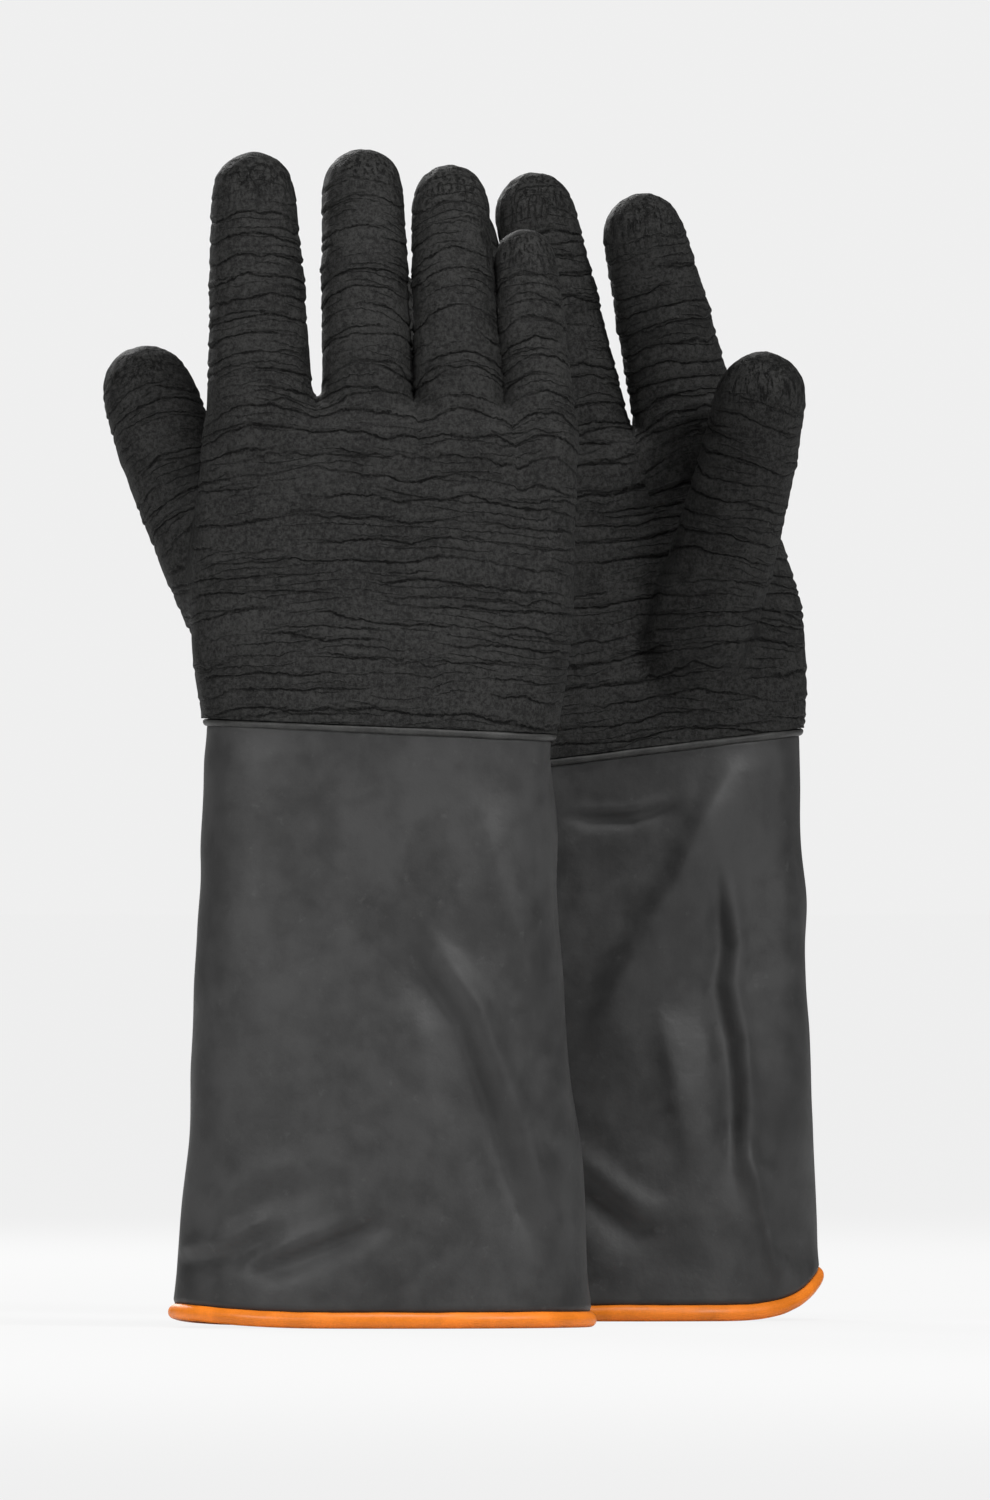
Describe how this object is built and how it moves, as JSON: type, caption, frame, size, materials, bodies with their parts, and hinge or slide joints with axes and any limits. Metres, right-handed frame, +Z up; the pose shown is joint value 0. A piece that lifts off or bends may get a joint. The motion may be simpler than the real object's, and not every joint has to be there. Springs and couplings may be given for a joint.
{
  "type": "electrical insulating gloves",
  "caption": "Pair of long rubber insulating gloves with crinkled hands, flared gauntlets and rolled orange cuffs, standing on the cuffs, with digits that bend.",
  "frame": {"origin": "centre of the pair's bounding box at floor level", "axes": "+Z up from the cuffs to the fingertips; the picture looks along +Y, with the front glove at -Y and the rear glove at +Y"},
  "size_m": [0.2542, 0.2519, 0.4114],
  "materials": {
    "gauntlet_rubber": "smooth semi-matt black rubber",
    "crinkle_rubber": "crinkled matt black rubber",
    "edge_rubber": "thin grey rubber edge",
    "orange_rubber": "smooth satin orange rubber"
  },
  "bodies": {
    "front_glove": {"front_gauntlet_shell": "gauntlet_rubber", "front_inner_layer": "orange_rubber", "front_cuff_bead": "orange_rubber", "front_coat_edge_band": "edge_rubber", "front_hand_coat": "crinkle_rubber"},
    "front_index": {"front_index_tip": "crinkle_rubber", "front_index_tip_liner": "orange_rubber"},
    "front_middle": {"front_middle_tip": "crinkle_rubber", "front_middle_tip_liner": "orange_rubber"},
    "front_ring": {"front_ring_tip": "crinkle_rubber", "front_ring_tip_liner": "orange_rubber"},
    "front_little": {"front_little_tip": "crinkle_rubber", "front_little_tip_liner": "orange_rubber"},
    "front_thumb": {"front_thumb_tip": "crinkle_rubber", "front_thumb_tip_liner": "orange_rubber"},
    "rear_glove": {"rear_gauntlet_shell": "gauntlet_rubber", "rear_inner_layer": "orange_rubber", "rear_cuff_bead": "orange_rubber", "rear_coat_edge_band": "edge_rubber", "rear_hand_coat": "crinkle_rubber"},
    "rear_index": {"rear_index_tip": "crinkle_rubber", "rear_index_tip_liner": "orange_rubber"},
    "rear_middle": {"rear_middle_tip": "crinkle_rubber", "rear_middle_tip_liner": "orange_rubber"},
    "rear_ring": {"rear_ring_tip": "crinkle_rubber", "rear_ring_tip_liner": "orange_rubber"},
    "rear_little": {"rear_little_tip": "crinkle_rubber", "rear_little_tip_liner": "orange_rubber"},
    "rear_thumb": {"rear_thumb_tip": "crinkle_rubber", "rear_thumb_tip_liner": "orange_rubber"}
  },
  "joints": [
    {"name": "front_glove_lift", "type": "slide", "parent": "rear_glove", "child": "front_glove", "axis": [0, 0, 1], "range_m": [0, 0.45]},
    {"name": "front_index_bend", "type": "hinge", "parent": "front_glove", "child": "front_index", "pos_m": [-0.07322, -0.06782, 0.35432], "axis": [-0.9996, 0, -0.0279], "range_deg": [0, 70], "stiffness_Nm_per_rad": 0.2},
    {"name": "front_middle_bend", "type": "hinge", "parent": "front_glove", "child": "front_middle", "pos_m": [-0.03564, -0.06595, 0.35781], "axis": [-0.9998, 0, -0.0209], "range_deg": [0, 50], "stiffness_Nm_per_rad": 0.2},
    {"name": "front_ring_bend", "type": "hinge", "parent": "front_glove", "child": "front_ring", "pos_m": [-0.00422, -0.06709, 0.35431], "axis": [-0.9987, 0, -0.0506], "range_deg": [0, 50], "stiffness_Nm_per_rad": 0.2},
    {"name": "front_little_bend", "type": "hinge", "parent": "front_glove", "child": "front_little", "pos_m": [0.02332, -0.07128, 0.33905], "axis": [-0.9956, 0, -0.0941], "range_deg": [0, 60], "stiffness_Nm_per_rad": 0.2},
    {"name": "front_thumb_bend", "type": "hinge", "parent": "front_glove", "child": "front_thumb", "pos_m": [-0.08623, -0.05702, 0.30708], "axis": [0.0932, 0.966, -0.2413], "range_deg": [0, 40], "stiffness_Nm_per_rad": 0.2},
    {"name": "rear_index_bend", "type": "hinge", "parent": "rear_glove", "child": "rear_index", "pos_m": [0.07149, 0.05897, 0.34374], "axis": [0.9744, 0, 0.225], "range_deg": [0, 60], "stiffness_Nm_per_rad": 0.2},
    {"name": "rear_middle_bend", "type": "hinge", "parent": "rear_glove", "child": "rear_middle", "pos_m": [0.0331, 0.06238, 0.35085], "axis": [0.9748, 0, 0.2233], "range_deg": [0, 70], "stiffness_Nm_per_rad": 0.2},
    {"name": "rear_ring_bend", "type": "hinge", "parent": "rear_glove", "child": "rear_ring", "pos_m": [0.00325, 0.06245, 0.34457], "axis": [0.9848, 0, 0.1736], "range_deg": [0, 70], "stiffness_Nm_per_rad": 0.2},
    {"name": "rear_little_bend", "type": "hinge", "parent": "rear_glove", "child": "rear_little", "pos_m": [-0.02188, 0.06486, 0.32592], "axis": [0.9925, 0, 0.1219], "range_deg": [0, 70], "stiffness_Nm_per_rad": 0.2},
    {"name": "rear_thumb_bend", "type": "hinge", "parent": "rear_glove", "child": "rear_thumb", "pos_m": [0.08076, 0.04163, 0.30257], "axis": [-0.071, -0.9511, -0.3006], "range_deg": [0, 40], "stiffness_Nm_per_rad": 0.2}
  ]
}
